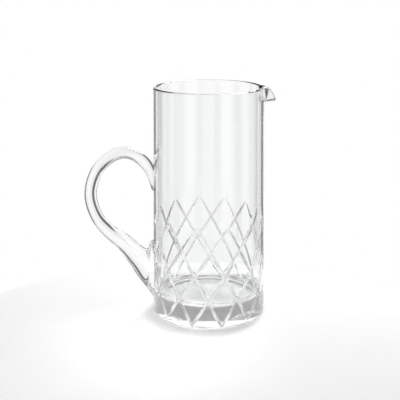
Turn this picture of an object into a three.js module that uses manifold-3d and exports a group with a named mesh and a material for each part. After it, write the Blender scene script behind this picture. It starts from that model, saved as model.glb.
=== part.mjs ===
// A cut-glass water jug: a heavy-based body with a pulled lip and a cut diamond lattice, and a
// loop handle of the same glass stuck on hot. Millimetres, +Z up. The origin is the middle of the
// flat base, the lip points to +X and the handle to -X.
import * as THREE from 'three';
import { mergeVertices } from 'three/addons/utils/BufferGeometryUtils.js';
import Module from 'manifold-3d';

// Body
const height = 196.5;
const baseDiameter = 98;
const mouthDiameter = 92;
const wall = 3.2;
const baseThickness = 16;
const heelRadius = 1.5;
const floorFillet = 9;
const bodySegments = 96;

// Lip, pulled out and down from the rim
const lipReach = 10.4;
const lipDrop = 12.9;
const lipRoot = 14.6;
const lipThickness = 2.4;
const lipHalfWidth = 5.3;
const lipCurl = 1.5;
const lipDip = 2.2;
const lipRows = 5;

// Lattice of V-grooves
const diamondsRound = 12;
const latticeTop = 89.5;
const latticeRows = 4;
const rowHeight = 21.2;
const grooveWidth = 3.6;
const grooveDepth = 0.7;
const topRunOut = 9;
const bottomRunOut = 3;

// Handle: levels are heights, reaches are measured out from the wall, along the middle of the rod
const rodThickness = 10.7;
const rodBreadth = 13;
const loopReach = 53.9;
const loopTop = 140.8;
const loopTopReach = 25.5;
const loopMiddle = 102;
const upperJoint = 128.5;
const tailLength = 21.5;
const tailThickness = 5;
const tailBreadth = 7;
const footLevel = 38.5;
const footThickness = 29;
const footBreadth = 18;
const footSpread = 19;
const padLevel = 37;
const padHeight = 52;
const padBreadth = 26;
const padThickness = 6.5;

// Clearances
const jointGap = 0.3;
const grooveStop = 2;

const glassColour = 0xf4f8f8;
const glassRoughness = 0.03;
const glassOpacity = 0.35;

const wasm = await Module();
wasm.setup();

function toSolid(geometry) {
  const bare = geometry.clone();
  bare.deleteAttribute('normal');
  bare.deleteAttribute('uv');
  const merged = mergeVertices(bare, 1e-4);
  const corners = [];
  for (let i = 0; i < merged.index.count; i += 3) {
    const triangle = [0, 1, 2].map((k) => merged.index.getX(i + k));
    if (new Set(triangle).size === 3) {
      corners.push(...triangle);
    }
  }
  const mesh = new wasm.Mesh({
    numProp: 3,
    vertProperties: new Float32Array(merged.attributes.position.array),
    triVerts: new Uint32Array(corners),
  });
  return new wasm.Manifold(mesh);
}

function toGeometry(solid) {
  const mesh = solid.getMesh();
  const geometry = new THREE.BufferGeometry();
  geometry.setAttribute('position', new THREE.BufferAttribute(mesh.vertProperties, 3));
  geometry.setIndex(new THREE.BufferAttribute(mesh.triVerts, 1));
  geometry.computeVertexNormals();
  return geometry;
}

// Skins a row of rings, each with the same number of points, and closes both ends with flat caps.
function loft(rings) {
  const points = rings.flat();
  const size = rings[0].length;
  const last = (rings.length - 1) * size;
  const index = [];
  for (let row = 0; row + 1 < rings.length; row += 1) {
    for (let i = 0; i < size; i += 1) {
      const a = row * size + i;
      const b = row * size + ((i + 1) % size);
      index.push(a, b, b + size, a, b + size, a + size);
    }
  }
  for (let i = 1; i + 1 < size; i += 1) {
    index.push(0, i + 1, i);
    index.push(last, last + i, last + i + 1);
  }
  const geometry = new THREE.BufferGeometry().setFromPoints(points);
  geometry.setIndex(index);
  return geometry;
}

// Turns a profile of (radius, height) points round the Z axis.
function revolve(profile) {
  return new THREE.LatheGeometry(profile, bodySegments).rotateX(Math.PI / 2);
}

function wallRadius(level) {
  return THREE.MathUtils.mapLinear(level, 0, height, baseDiameter / 2, mouthDiameter / 2);
}

// Points on an arc about (x, y), both ends included.
function arc(x, y, radius, from, to, steps) {
  return Array.from({ length: steps + 1 }, (_, i) => {
    const angle = THREE.MathUtils.lerp(from, to, i / steps);
    return new THREE.Vector2(x + radius * Math.cos(angle), y + radius * Math.sin(angle));
  });
}

// The body's section: base, outer wall, round rim, inner wall and dished floor.
function bodyProfile() {
  const bead = wall / 2;
  const shoulder = height - bead;
  const filletTop = baseThickness + floorFillet;
  const filletMiddle = wallRadius(filletTop) - wall - floorFillet;
  const rootLevels = Array.from({ length: lipRows }, (_, i) => {
    return THREE.MathUtils.lerp(height - lipRoot, shoulder, i / lipRows);
  });
  return [
    new THREE.Vector2(0, 0),
    ...arc(baseDiameter / 2 - heelRadius, heelRadius, heelRadius, -Math.PI / 2, 0, 2),
    ...rootLevels.map((level) => new THREE.Vector2(wallRadius(level), level)),
    ...arc(wallRadius(shoulder) - bead, shoulder, bead, 0, Math.PI, 4),
    ...rootLevels.reverse().map((level) => new THREE.Vector2(wallRadius(level) - wall, level)),
    ...arc(filletMiddle, filletTop, floorFillet, 0, -Math.PI / 2, 4),
    new THREE.Vector2(0, baseThickness),
  ];
}

// Draws the rim out and down about +X, as it is pulled while hot. The inside is drawn down less than
// the outside, which keeps the lip's floor thick.
function pullLip(geometry) {
  const position = geometry.attributes.position;
  for (let i = 0; i < position.count; i += 1) {
    const x = position.getX(i);
    const y = position.getY(i);
    const level = position.getZ(i);
    const radius = Math.hypot(x, y);
    const along = (Math.atan2(y, x) * mouthDiameter) / 2;
    const share = Math.exp(-((along / lipHalfWidth) ** 2));
    const rise = THREE.MathUtils.clamp((level - height + lipRoot) / lipRoot, 0, 1);
    const inside = THREE.MathUtils.clamp((wallRadius(level) - radius) / wall, 0, 1);
    const reach = lipReach * share * rise ** lipCurl;
    const drop = (lipDrop - lipThickness * inside) * share ** lipDip * rise;
    if (radius > wallRadius(level) - 2 * wall) {
      position.setXYZ(i, x * (1 + reach / radius), y * (1 + reach / radius), level - drop);
    }
  }
  return geometry;
}

// One groove: a V-shaped blade that follows a helix down the wall and lifts out at both ends.
function grooveBlade(start, hand) {
  const lift = 0.1;
  const clear = 0.6;
  const spread = grooveWidth / 2 / grooveDepth;
  const length = latticeRows * rowHeight;
  const steps = 3 * latticeRows;
  const turn = (hand * Math.PI) / diamondsRound / rowHeight;
  const pointAt = (down, offset) => {
    const level = latticeTop - down;
    const angle = start + turn * down;
    const radius = wallRadius(level) + offset;
    return new THREE.Vector3(radius * Math.cos(angle), radius * Math.sin(angle), level);
  };
  const rings = Array.from({ length: steps + 1 }, (_, i) => {
    const down = (length * i) / steps;
    const fromTop = THREE.MathUtils.clamp(down / topRunOut, 0, 1);
    const fromBottom = THREE.MathUtils.clamp((length - down) / bottomRunOut, 0, 1);
    const share = Math.min(fromTop * (2 - fromTop), fromBottom * (2 - fromBottom));
    const depth = (grooveDepth + lift) * share - lift;
    const outward = pointAt(down, 1).sub(pointAt(down, 0)).normalize();
    const along = pointAt(down + 1, 0).sub(pointAt(down - 1, 0)).normalize();
    const across = new THREE.Vector3().crossVectors(outward, along);
    const half = (depth + clear) * spread;
    return [
      pointAt(down, -depth),
      pointAt(down, clear).addScaledVector(across, half),
      pointAt(down, clear).addScaledVector(across, -half),
    ];
  });
  return toSolid(loft(rings));
}

function lattice() {
  const step = (2 * Math.PI) / diamondsRound;
  const blades = [];
  for (let i = 0; i < diamondsRound; i += 1) {
    blades.push(grooveBlade((i + 0.5) * step, 1), grooveBlade((i + 0.5) * step, -1));
  }
  return blades;
}

// The handle's rod from its tail on the wall, up over the loop and down to its foot, which spreads
// as it meets the wall: reach, level, thickness in the plane of the loop and breadth across it. Both
// ends lie inside the wall, where the fitting form trims them.
const rodStations = [
  [-1, upperJoint - tailLength, tailThickness, tailBreadth],
  [0.6, upperJoint - tailLength / 2, tailThickness + 3, tailBreadth + 4],
  [4.6, upperJoint, rodThickness, rodBreadth + 1],
  [15.5, loopTop - 3.2, rodThickness, rodBreadth],
  [loopTopReach, loopTop, rodThickness, rodBreadth],
  [loopReach - 17, loopTop - 5.6, rodThickness, rodBreadth],
  [loopReach - 5.5, loopMiddle + 20.3, rodThickness, rodBreadth],
  [loopReach, loopMiddle, rodThickness, rodBreadth],
  [loopReach - 5.1, loopMiddle - 18.6, rodThickness, rodBreadth],
  [loopReach - 14.6, loopMiddle - 31.1, rodThickness + 2, rodBreadth],
  [25.4, footLevel + 21, rodThickness + 5, rodBreadth + 1],
  [14.2, footLevel + 9, rodThickness + 9, rodBreadth + 3],
  [4, footLevel, footThickness, footBreadth],
  [-13, footLevel - 10.5, footThickness + footSpread, footBreadth + 2],
];

// The rod as a loft of rounded sections, grown on every side by the given margin.
function rod(margin) {
  const ringPoints = 16;
  const steps = 3 * (rodStations.length - 1);
  const places = rodStations.map(([reach, level]) => {
    return new THREE.Vector3(-wallRadius(level) - reach, 0, level);
  });
  const sizes = rodStations.map(([, , thickness, breadth]) => new THREE.Vector3(thickness, breadth, 0));
  const middle = new THREE.CatmullRomCurve3(places);
  const section = new THREE.CatmullRomCurve3(sizes);
  const rings = Array.from({ length: steps + 1 }, (_, i) => {
    const centre = middle.getPoint(i / steps);
    const tangent = middle.getTangent(i / steps);
    const size = section.getPoint(i / steps);
    const normal = new THREE.Vector3(tangent.z, 0, -tangent.x);
    return Array.from({ length: ringPoints }, (__, k) => {
      const angle = (2 * Math.PI * k) / ringPoints;
      const ring = centre.clone();
      ring.addScaledVector(normal, (size.x / 2 + margin) * Math.cos(angle));
      ring.y += (size.y / 2 + margin) * Math.sin(angle);
      return ring;
    });
  });
  return toSolid(loft(rings));
}

// The pressed pad at the foot, where the hot rod was stuck on first.
function pad(margin) {
  const ball = new THREE.SphereGeometry(1, 28, 14);
  ball.scale(padThickness + margin, padBreadth / 2 + margin, padHeight / 2 + margin);
  ball.translate(-wallRadius(padLevel), 0, padLevel);
  return toSolid(ball);
}

// The solid that the outer wall bounds, grown by the joint's gap: what the handle is fitted against.
function fittingForm() {
  const beyond = padHeight;
  return toSolid(revolve([
    new THREE.Vector2(0, -beyond),
    new THREE.Vector2(wallRadius(-beyond) + jointGap, -beyond),
    new THREE.Vector2(wallRadius(height + beyond) + jointGap, height + beyond),
    new THREE.Vector2(0, height + beyond),
  ]));
}

function bodySolid() {
  const keepClear = rod(grooveStop).add(pad(grooveStop));
  let solid = toSolid(pullLip(revolve(bodyProfile())));
  for (const blade of lattice()) {
    solid = solid.subtract(blade.subtract(keepClear));
  }
  return solid;
}

function handleSolid() {
  return rod(0).add(pad(0)).subtract(fittingForm());
}

function clearGlass() {
  return new THREE.MeshStandardMaterial({
    color: glassColour,
    roughness: glassRoughness,
    metalness: 0,
    transparent: true,
    opacity: glassOpacity,
  });
}

function piece(name, solid) {
  const mesh = new THREE.Mesh(toGeometry(solid), clearGlass());
  mesh.name = name;
  return mesh;
}

const jug = new THREE.Group();
jug.add(piece('jug_body', bodySolid()), piece('handle', handleSolid()));

export default jug;
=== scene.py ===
import math

import bmesh
import bpy
from mathutils import Matrix, Vector


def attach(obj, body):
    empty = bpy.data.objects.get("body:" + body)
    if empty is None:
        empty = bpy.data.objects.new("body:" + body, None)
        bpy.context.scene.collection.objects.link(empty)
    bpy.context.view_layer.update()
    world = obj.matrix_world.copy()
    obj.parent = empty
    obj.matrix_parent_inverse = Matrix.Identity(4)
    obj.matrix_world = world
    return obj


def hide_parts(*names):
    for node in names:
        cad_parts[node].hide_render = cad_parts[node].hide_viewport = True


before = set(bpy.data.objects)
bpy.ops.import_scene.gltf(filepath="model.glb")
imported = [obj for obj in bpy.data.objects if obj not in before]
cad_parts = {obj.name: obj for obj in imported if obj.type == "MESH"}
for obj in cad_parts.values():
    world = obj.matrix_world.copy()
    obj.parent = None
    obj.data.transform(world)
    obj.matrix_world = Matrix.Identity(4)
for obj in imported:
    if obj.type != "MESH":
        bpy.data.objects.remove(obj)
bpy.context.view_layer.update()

# Camera: it stands where the photograph was taken from, a hand's breadth above the level of the rim, and
# looks down on the jug. The frame is square, and the jug stands a little right of its middle.
mm = 0.001
camera_distance = 698 * mm
camera_height = 291.8 * mm
camera_azimuth = math.radians(1.5)
camera_pitch = math.radians(15.46)
sensor_width = 36
focal_length = 75.8
frame_width = 400
axis_column = 208.65

camera_data = bpy.data.cameras.new("camera")
camera_data.sensor_width = sensor_width
camera_data.lens = focal_length
camera_data.shift_x = (frame_width / 2 - axis_column) / frame_width
camera = bpy.data.objects.new("camera", camera_data)
camera.location = (
    camera_distance * math.sin(camera_azimuth),
    -camera_distance * math.cos(camera_azimuth),
    camera_height,
)
camera.rotation_euler = (math.pi / 2 - camera_pitch, 0, camera_azimuth)
bpy.context.collection.objects.link(camera)
bpy.context.scene.camera = camera

# Jug body: one gather of clear glass, blown into a mould over a heavy base. The rim is fire-polished, the
# lip is pulled out of it while hot, and the diamond lattice is cut cold with a V-edged wheel that
# lifts out at both ends of each groove and stops short of the handle.
body_height = 196.5 * mm
base_radius = 49 * mm
mouth_radius = 46 * mm
wall = 3.2 * mm
base_thickness = 15 * mm
heel_radius = 1.5 * mm
floor_fillet = 17 * mm
floor_rise = 10 * mm
floor_dish = 0.8 * mm

# Curl and dip are powers: the higher, the later the lip turns outwards and the narrower its tip hangs.
lip_reach = 11 * mm
lip_drop = 11.6 * mm
lip_root = 12.8 * mm
lip_thickness = 2.4 * mm
lip_half_width = 5.3 * mm
lip_curl = 1.5
lip_dip = 3.0

diamonds_round = 12
lattice_rows = 4
lattice_top = 89.6 * mm
row_height = 20.7 * mm
first_crossing = 0.5
lattice_bottom = lattice_top - lattice_rows * row_height
groove_depth = 0.75 * mm
top_run_out = 9 * mm
bottom_run_out = 5 * mm
handle_run_out = 4 * mm
groove_stop = 2 * mm

# The wheel is guided by hand, so the cut is uneven. Its rows are taller and lower in front, and lower by the
# lip. The whole cut is turned a little, and it leans towards the lip as it rises.
cut_drift = 0.038
cut_lean = 1.6 * mm
side_lean = 1.1 * mm
cut_turn = math.radians(1.45)
cut_skew = math.radians(0.075) / mm
skew_level = 30 * mm

# The grooves keep clear of the pad that the handle is pressed on with.
pad_level = 37 * mm
pad_height = 52 * mm
pad_breadth = 26 * mm

# The mesh: a diamond and a groove are so many columns wide on either side of their middle.
half_diamond_columns = 15
half_groove_columns = 1.8
columns = 2 * half_diamond_columns * diamonds_round
heel_steps = 8
plain_rings = 10
lip_rings = 16
rim_steps = 14
inner_rings = 12
fillet_steps = 24
floor_steps = 6
bend_margin = 0.4 * mm
seam_gap = 0.001 * mm


def clamp(number):
    return max(0.0, min(1.0, number))


def steps_between(start, end, count):
    return [start + (end - start) * step / count for step in range(count + 1)]


def arc(radius, level, breadth, rise, start, end, count):
    turns = [math.radians(angle) for angle in steps_between(start, end, count)]
    return [(radius + breadth * math.cos(turn), level + rise * math.sin(turn)) for turn in turns]


def wall_radius(level):
    return base_radius + (mouth_radius - base_radius) * level / body_height


def body_outline():
    """Half of the body's section, from the middle of its foot over the rim to the middle of its floor."""
    bead = wall / 2
    shoulder = body_height - bead
    root = body_height - lip_root
    fillet_top = base_thickness + floor_rise
    fillet_middle = wall_radius(fillet_top) - wall - floor_fillet
    lattice = steps_between(lattice_bottom, lattice_top, lattice_rows * half_diamond_columns)
    above = steps_between(lattice_top, root, plain_rings)[1:]
    drawn = steps_between(root, shoulder, lip_rings)[1:-1]
    outer = [heel_radius + bend_margin] + lattice + above + drawn
    inner = [fillet_top + bend_margin] + steps_between(fillet_top, root, inner_rings)[1:] + drawn
    outline = [(0, 0), (base_radius - heel_radius - bend_margin, 0)]
    outline += arc(base_radius - heel_radius, heel_radius, heel_radius, heel_radius, -90, 0, heel_steps)
    outline += [(wall_radius(level), level) for level in outer]
    outline += arc(wall_radius(shoulder) - bead, shoulder, bead, bead, 0, 180, rim_steps)
    outline += [(wall_radius(level) - wall, level) for level in reversed(inner)]
    outline += arc(fillet_middle, fillet_top, floor_fillet, floor_rise, 0, -90, fillet_steps)
    outline += [
        (fillet_middle * (1 - part), base_thickness - floor_dish * part * (2 - part))
        for part in steps_between(0, 1, floor_steps)[1:]
    ]
    return outline


def turned(outline):
    shell = bmesh.new()
    corners = [shell.verts.new((radius, 0, level)) for radius, level in outline]
    edges = [shell.edges.new(pair) for pair in zip(corners, corners[1:])]
    bmesh.ops.spin(
        shell, geom=corners + edges, cent=(0, 0, 0), axis=(0, 0, 1),
        angle=2 * math.pi, steps=columns, use_merge=True,
    )
    bmesh.ops.remove_doubles(shell, verts=shell.verts, dist=seam_gap)
    bmesh.ops.recalc_face_normals(shell, faces=shell.faces)
    return shell


def on_outer_wall(place):
    return math.hypot(place.x, place.y) > wall_radius(place.z) - wall / 4


def runs_out(distance, length):
    """How much of its full depth a groove has at a distance from its end."""
    share = clamp(distance / length)
    return share * (2 - share)


def clear_of_pad(place):
    if place.x > 0:
        return math.inf
    across = abs(place.y) / (pad_breadth / 2 + groove_stop)
    along = abs(place.z - pad_level) / (pad_height / 2 + groove_stop)
    return (math.hypot(across, along) - 1) * (pad_breadth / 2 + groove_stop)


def groove_depth_at(place):
    """The depth of the cut. At the top, grooves of both hands cross half a diamond on from the lip."""
    share = min(
        runs_out(lattice_top - place.z, top_run_out),
        runs_out(place.z - lattice_bottom, bottom_run_out),
        runs_out(clear_of_pad(place), handle_run_out),
    )
    column = math.degrees(math.atan2(place.y, place.x)) / 360 * columns
    row = (lattice_top - place.z) / row_height * half_diamond_columns
    deepest = 0.0
    for hand in (1, -1):
        turn = (column - hand * row) / (2 * half_diamond_columns) - first_crossing
        aside = abs(turn - round(turn)) * 2 * half_diamond_columns
        deepest = max(deepest, share - aside / half_groove_columns)
    return groove_depth * deepest


def cut_lattice(shell):
    faces = [
        face for face in shell.faces
        if lattice_bottom < face.calc_center_median().z < lattice_top
        and on_outer_wall(face.calc_center_median())
    ]
    cells = bmesh.ops.poke(shell, faces=faces)["faces"]
    sunk = set()
    for corner in {corner for cell in cells for corner in cell.verts}:
        depth = groove_depth_at(corner.co)
        around = Vector((corner.co.x, corner.co.y, 0)).normalized()
        if depth > 0:
            corner.co -= around * depth
            sunk.add(corner)
        below = (lattice_top - corner.co.z) * (1 - cut_drift * around.y)
        corner.co.z = lattice_top - below + cut_lean * around.y - side_lean * around.x
    for cell in cells:
        if len(sunk.intersection(cell.verts)) > 1:
            cell.material_index = cut_slot


def skew_cut(shell):
    for corner in shell.verts:
        around = Vector((corner.co.x, corner.co.y, 0)).normalized()
        level = max(lattice_bottom, min(lattice_top, corner.co.z))
        turn = cut_turn - cut_skew * (level - skew_level) * around.y
        corner.co = Matrix.Rotation(turn, 3, "Z") @ corner.co


def pull_lip(shell):
    """Draws the rim out and down into the lip, whose inside stays a glass's thickness above its outside."""
    for corner in shell.verts:
        level = corner.co.z
        around = Vector((corner.co.x, corner.co.y, 0))
        radius = around.length
        if radius > wall_radius(level) - 2 * wall:
            aside = math.atan2(corner.co.y, corner.co.x) * mouth_radius
            share = math.exp(-((aside / lip_half_width) ** 2))
            rise = clamp((level - body_height + lip_root) / lip_root)
            inside = clamp((wall_radius(level) - radius) / wall)
            corner.co += around.normalized() * lip_reach * share * rise**lip_curl
            corner.co.z -= (lip_drop - lip_thickness * inside) * share**lip_dip * rise


def as_object(name, shell):
    data = bpy.data.meshes.new(name)
    shell.to_mesh(data)
    shell.free()
    made = bpy.data.objects.new(name, data)
    bpy.context.collection.objects.link(made)
    return made


class Value:
    """The output of a shader node, from which further nodes are added to the same tree."""

    def __init__(self, tree, socket=None):
        self.tree = tree
        self.socket = socket

    def node(self, kind, settings=None, inputs=None, output=0):
        made = self.tree.nodes.new(kind)
        for name, setting in (settings or {}).items():
            setattr(made, name, setting)
        for name, value in (inputs or {}).items():
            if isinstance(value, Value):
                self.tree.links.new(value.socket, made.inputs[name])
            else:
                made.inputs[name].default_value = value
        return Value(self.tree, made.outputs[output] if made.outputs else None)


glass_index = 1.52
joint_index = 1.0
clear_tint = (0.975, 0.978, 0.978, 1)
cool_tint = (0.955, 0.964, 0.962, 1)
cloud_scale = 18.0
cloud_detail = 2.0
wave_scale = 30.0
wave_detail = 1.0
polished = 0.0
satin = 0.3
body_ripple = 0.02 * mm
cut_ripple = 0.0

# The share of the lamp's light that passes through the thin glass, the cuts and the heavy base.
thin_light = 0.97
cut_light = 0.9
base_light = 0.0


def glass(name, roughness, ripple, light_passed):
    """Clear glass with faint clouds of tint and a rippled surface, which lets light into its own shadow."""
    material = bpy.data.materials.new(name)
    material.use_nodes = True
    material.node_tree.nodes.clear()
    tree = Value(material.node_tree)
    place = tree.node("ShaderNodeTexCoord", output="Object")
    cloud = tree.node(
        "ShaderNodeTexNoise", inputs={"Vector": place, "Scale": cloud_scale, "Detail": cloud_detail}
    )
    tint = tree.node(
        "ShaderNodeMix", {"data_type": "RGBA"}, {0: cloud, 6: clear_tint, 7: cool_tint}, output=2
    )
    wave = tree.node(
        "ShaderNodeTexNoise", inputs={"Vector": place, "Scale": wave_scale, "Detail": wave_detail}
    )
    surface = tree.node("ShaderNodeBump", inputs={"Strength": 1.0, "Distance": ripple, "Height": wave})
    clear = tree.node("ShaderNodeBsdfPrincipled", inputs={
        "Base Color": tint,
        "Roughness": roughness,
        "IOR": glass_index,
        "Transmission Weight": 1.0,
        "Normal": surface,
    })
    passed = (light_passed, light_passed, light_passed, 1)
    lit = tree.node("ShaderNodeBsdfTransparent", inputs={"Color": passed})
    shadow = tree.node("ShaderNodeLightPath", output="Is Shadow Ray")
    mixed = tree.node("ShaderNodeMixShader", inputs={0: shadow, 1: clear, 2: lit})
    tree.node("ShaderNodeOutputMaterial", inputs={"Surface": mixed})
    return material


def weld(name):
    """The joint of body and handle, which are one glass there, so that light goes straight on."""
    material = bpy.data.materials.new(name)
    material.use_nodes = True
    inside = material.node_tree.nodes["Principled BSDF"].inputs
    inside["Base Color"].default_value = clear_tint
    inside["Roughness"].default_value = polished
    inside["IOR"].default_value = joint_index
    inside["Transmission Weight"].default_value = 1.0
    return material


# Low in the jug, a face belongs to the floor if its normal points up or down by more than this share.
floor_slope = 0.5
base_slot = 1
cut_slot = 2

body_shell = turned(body_outline())
cut_lattice(body_shell)
skew_cut(body_shell)
pull_lip(body_shell)
body = as_object("jug_body_glass", body_shell)
body.data.materials.append(glass("body_glass", polished, body_ripple, thin_light))
body.data.materials.append(glass("base_glass", polished, body_ripple, base_light))
body.data.materials.append(glass("cut_glass", satin, cut_ripple, cut_light))
for face in body.data.polygons:
    level = face.center.z
    in_floor = level < base_thickness + floor_rise and abs(face.normal.z) > floor_slope
    in_side = level < base_thickness and face.material_index != cut_slot
    if in_floor or in_side:
        face.material_index = base_slot
joint_glass = weld("joint_glass")
body.data.materials.append(joint_glass)
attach(body, "root")
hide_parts("jug_body")

# Handle: a rod of the same glass, drawn hot. Its thick end is pressed on low as a pad, the rod is swung up
# in a loop, and its thin end is stuck on again higher up, where it trails down the wall as a tail.
# The wall is still soft there, so rod and pad sink a little into it, and all of it flows together.
pad_thickness = 6.5 * mm
pad_segments = 64
pad_rings = 48
weld_depth = 0.4 * mm
melt_grain = 0.7 * mm
flow_share = 0.5
flow_rounds = 30
rod_ripple = 0.03 * mm
crease = math.radians(18)
ring_points = 32
rings_per_span = 6

# From the tail to the foot, in millimetres: how far the rod's middle stands off the wall, its height, its
# thickness and its breadth.
rod_stations = [
    (-1, 107, 5, 7),
    (0.6, 117.75, 8, 11),
    (4.6, 128.5, 10.7, 14),
    (14.2, 137, 10.3, 13),
    (24.9, 140.2, 10.7, 13),
    (35.8, 136.7, 10.9, 13),
    (48.4, 124.2, 10.9, 13),
    (54.4, 103, 11.2, 13),
    (49.2, 83.4, 11.4, 13),
    (39.3, 70.9, 12.7, 13),
    (25.4, 59.5, 15.7, 15),
    (14.2, 47.5, 19.7, 19),
    (4, 38.5, 29, 23),
    (-13, 28, 48, 26),
]


def smooth_path(points, steps):
    """Points on a curve through the given ones, with each span paced by the root of its length."""
    padded = [2 * points[0] - points[1], *points, 2 * points[-1] - points[-2]]
    path = []
    for before, start, end, after in zip(padded, padded[1:], padded[2:], padded[3:]):
        pace = [math.sqrt((b - a).length) for a, b in ((before, start), (start, end), (end, after))]
        leaving = (start - before) / pace[0] - (end - before) / (pace[0] + pace[1])
        leaving = (leaving + (end - start) / pace[1]) * pace[1]
        arriving = (end - start) / pace[1] - (after - start) / (pace[1] + pace[2])
        arriving = (arriving + (after - end) / pace[2]) * pace[1]
        for step in range(steps):
            part = step / steps
            path.append(
                start * (2 * part**3 - 3 * part**2 + 1)
                + leaving * (part**3 - 2 * part**2 + part)
                + end * (3 * part**2 - 2 * part**3)
                + arriving * (part**3 - part**2)
            )
    return path + [points[-1]]


def rod_frames():
    """Where each ring of the rod lies, as the matrix that brings a unit circle there."""
    stations = [
        Vector((-wall_radius(level * mm) - reach * mm, level * mm, thickness * mm, breadth * mm))
        for reach, level, thickness, breadth in rod_stations
    ]
    path = smooth_path(stations, rings_per_span)
    frames = []
    for index, (out, level, thickness, breadth) in enumerate(path):
        ahead = path[min(index + 1, len(path) - 1)].xy - path[max(index - 1, 0)].xy
        ahead.normalize()
        frames.append(Matrix((
            (ahead.y * thickness / 2, 0, ahead.x, out),
            (0, breadth / 2, 0, 0),
            (-ahead.x * thickness / 2, 0, ahead.y, level),
            (0, 0, 0, 1),
        )))
    return frames


def rod():
    frames = rod_frames()
    shell = bmesh.new()
    bmesh.ops.create_circle(shell, cap_ends=True, segments=ring_points, radius=1, matrix=frames[0])
    ring = list(shell.edges)
    for last, following in zip(frames, frames[1:]):
        grown = bmesh.ops.extrude_edge_only(shell, edges=ring)["geom"]
        ring = [part for part in grown if isinstance(part, bmesh.types.BMEdge)]
        corners = [part for part in grown if isinstance(part, bmesh.types.BMVert)]
        bmesh.ops.transform(shell, matrix=following @ last.inverted(), verts=corners)
    bmesh.ops.edgeloop_fill(shell, edges=ring)
    bmesh.ops.recalc_face_normals(shell, faces=shell.faces)
    return shell


def pad():
    shell = bmesh.new()
    place = Matrix.Translation((-wall_radius(pad_level), 0, pad_level))
    shape = Matrix.Diagonal((pad_thickness, pad_breadth / 2, pad_height / 2, 1))
    bmesh.ops.create_uvsphere(
        shell, u_segments=pad_segments, v_segments=pad_rings, radius=1, matrix=place @ shape
    )
    return shell


def wall_form():
    """The body's outside without its cuts, less the depth to which the handle sinks in."""
    shell = bmesh.new()
    bmesh.ops.create_cone(
        shell, cap_ends=True, segments=2 * columns,
        radius1=base_radius - weld_depth, radius2=mouth_radius - weld_depth, depth=body_height,
        matrix=Matrix.Translation((0, 0, body_height / 2)),
    )
    return shell


def cut_by(piece, operation, tool):
    step = piece.modifiers.new(operation.lower(), "BOOLEAN")
    step.operation = operation
    step.object = tool
    step.solver = "EXACT"
    step.material_mode = "TRANSFER"


def settle(piece):
    """Turns a piece's modifiers into its mesh."""
    made = bpy.data.meshes.new_from_object(piece.evaluated_get(bpy.context.evaluated_depsgraph_get()))
    piece.modifiers.clear()
    old = piece.data
    piece.data = made
    name = old.name
    bpy.data.meshes.remove(old)
    made.name = name


handle = as_object("handle_glass", rod())
handle.data.materials.append(glass("handle_glass", polished, rod_ripple, thin_light))
pad_tool = as_object("pad", pad())
wall_tool = as_object("wall_form", wall_form())
wall_tool.data.materials.append(joint_glass)
cut_by(handle, "UNION", pad_tool)
melted = handle.modifiers.new("melted", "REMESH")
melted.mode = "VOXEL"
melted.voxel_size = melt_grain
flowed = handle.modifiers.new("flowed", "SMOOTH")
flowed.factor = flow_share
flowed.iterations = flow_rounds
cut_by(handle, "DIFFERENCE", wall_tool)
settle(handle)
cut_by(body, "DIFFERENCE", handle)
settle(body)
bpy.data.objects.remove(pad_tool)
bpy.data.objects.remove(wall_tool)
for piece in (body, handle):
    piece.data.shade_smooth()
    piece.data.set_sharp_from_angle(angle=crease)
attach(handle, "root")
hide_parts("handle")

# Studio: a round white table top in a white room that is darker overhead, and one soft lamp above and behind
# the jug. A ring of white panels with narrow dark strips stands round it, out of the picture, and the glass
# shows the strips as the dark lines along its edges.
table_radius = 250 * mm
table_shift = 130 * mm
table_drop = 0.15 * mm
table_segments = 128
table_colour = (0.8, 0.8, 0.8, 1)
table_roughness = 0.9
table_glow = 0.13

table_shell = bmesh.new()
bmesh.ops.create_circle(
    table_shell, cap_ends=True, segments=table_segments, radius=table_radius,
    matrix=Matrix.Translation((0, -table_shift, -table_drop)),
)
table = as_object("table_top", table_shell)
table_material = bpy.data.materials.new("white_table")
table_material.use_nodes = True
table_inputs = table_material.node_tree.nodes["Principled BSDF"].inputs
table_inputs["Base Color"].default_value = table_colour
table_inputs["Roughness"].default_value = table_roughness
table_inputs["Specular IOR Level"].default_value = 0.0
table_inputs["Emission Color"].default_value = (1, 1, 1, 1)
table_inputs["Emission Strength"].default_value = table_glow
table.data.materials.append(table_material)

screen_distance = 1200 * mm
screen_low = -900 * mm
screen_high = 300 * mm

# Bearings in degrees from straight behind the jug, each with the panels' light there. Both sides are alike.
half_screen = [
    (0, 1.0), (7, 1.0), (9, 0.95), (12, 0.92), (19, 0.88), (22, 0.5), (24, 0.12), (35, 0.12), (38, 0.9),
    (55, 1.0), (58, 0.25), (72, 0.25), (75, 1.0), (104, 1.0), (107, 0.25), (120, 0.25), (123, 1.0),
    (129, 0.9), (132, 1.2), (150, 1.2), (153, 0.9), (156, 0.5), (166, 0.5), (169, 0.9), (180, 0.9),
]
whole_screen = [(-bearing, light) for bearing, light in reversed(half_screen)] + half_screen[1:]

screen_shell = bmesh.new()
foot = [
    screen_shell.verts.new((
        screen_distance * math.sin(math.radians(bearing)),
        screen_distance * math.cos(math.radians(bearing)),
        screen_low,
    ))
    for bearing, light in whole_screen
]
foot_edges = [screen_shell.edges.new(pair) for pair in zip(foot, foot[1:])]
grown = bmesh.ops.extrude_edge_only(screen_shell, edges=foot_edges)["geom"]
head = [part for part in grown if isinstance(part, bmesh.types.BMVert)]
bmesh.ops.translate(screen_shell, verts=head, vec=(0, 0, screen_high - screen_low))
screen = as_object("screen", screen_shell)
screen.visible_camera = False
shade = screen.data.color_attributes.new("shade", "FLOAT_COLOR", "POINT")
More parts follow.
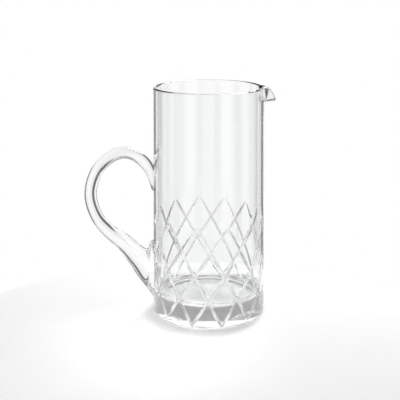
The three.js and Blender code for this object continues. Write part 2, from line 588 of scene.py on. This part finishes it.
# The corners at the head follow those at the foot, in the same order.
for index, (bearing, light) in enumerate(whole_screen * 2):
    shade.data[index].color = (light, light, light, 1)
screen_material = bpy.data.materials.new("screen")
screen_material.use_nodes = True
screen_material.node_tree.nodes.clear()
printed = Value(screen_material.node_tree)
shades = printed.node("ShaderNodeVertexColor", {"layer_name": "shade"})
glow = printed.node("ShaderNodeEmission", inputs={"Color": shades, "Strength": 1.0})
printed.node("ShaderNodeOutputMaterial", inputs={"Surface": glow})
screen.data.materials.append(screen_material)

# The room is white up to the first of these slopes, which are sines, and darkest from the second upwards.
fade_start = 0.06
fade_end = 0.36
wall_light = 1.0
overhead_light = 0.36

world = bpy.data.worlds.new("room")
bpy.context.scene.world = world
world.use_nodes = True
world.node_tree.nodes.clear()
room = Value(world.node_tree)
heading = room.node("ShaderNodeTexCoord", output="Generated")
upwards = room.node("ShaderNodeSeparateXYZ", inputs={0: heading}, output="Z")
room_light = room.node("ShaderNodeMapRange", {"interpolation_type": "SMOOTHSTEP"}, {
    "Value": upwards,
    "From Min": fade_start,
    "From Max": fade_end,
    "To Min": wall_light,
    "To Max": overhead_light,
})
walls = room.node("ShaderNodeBackground", inputs={"Color": (1, 1, 1, 1), "Strength": room_light})
room.node("ShaderNodeOutputWorld", inputs={"Surface": walls})

lamp_distance = 1200 * mm
lamp_heading = Vector((0.2, 0.6, 0.68)).normalized()
lamp_breadth = 500 * mm
lamp_power = 13

lamp_data = bpy.data.lights.new("lamp", "AREA")
lamp_data.shape = "DISK"
lamp_data.size = lamp_breadth
lamp_data.energy = lamp_power
lamp = bpy.data.objects.new("lamp", lamp_data)
lamp.location = lamp_heading * lamp_distance
lamp.rotation_euler = lamp_heading.to_track_quat("Z", "Y").to_euler()
lamp.visible_transmission = False
bpy.context.collection.objects.link(lamp)

# Light crosses many faces of glass before it reaches the camera.
glass_bounces = 32
mirror_bounces = 24
bpy.context.scene.view_settings.view_transform = "Standard"
bpy.context.scene.cycles.max_bounces = glass_bounces
bpy.context.scene.cycles.transmission_bounces = glass_bounces
bpy.context.scene.cycles.glossy_bounces = mirror_bounces
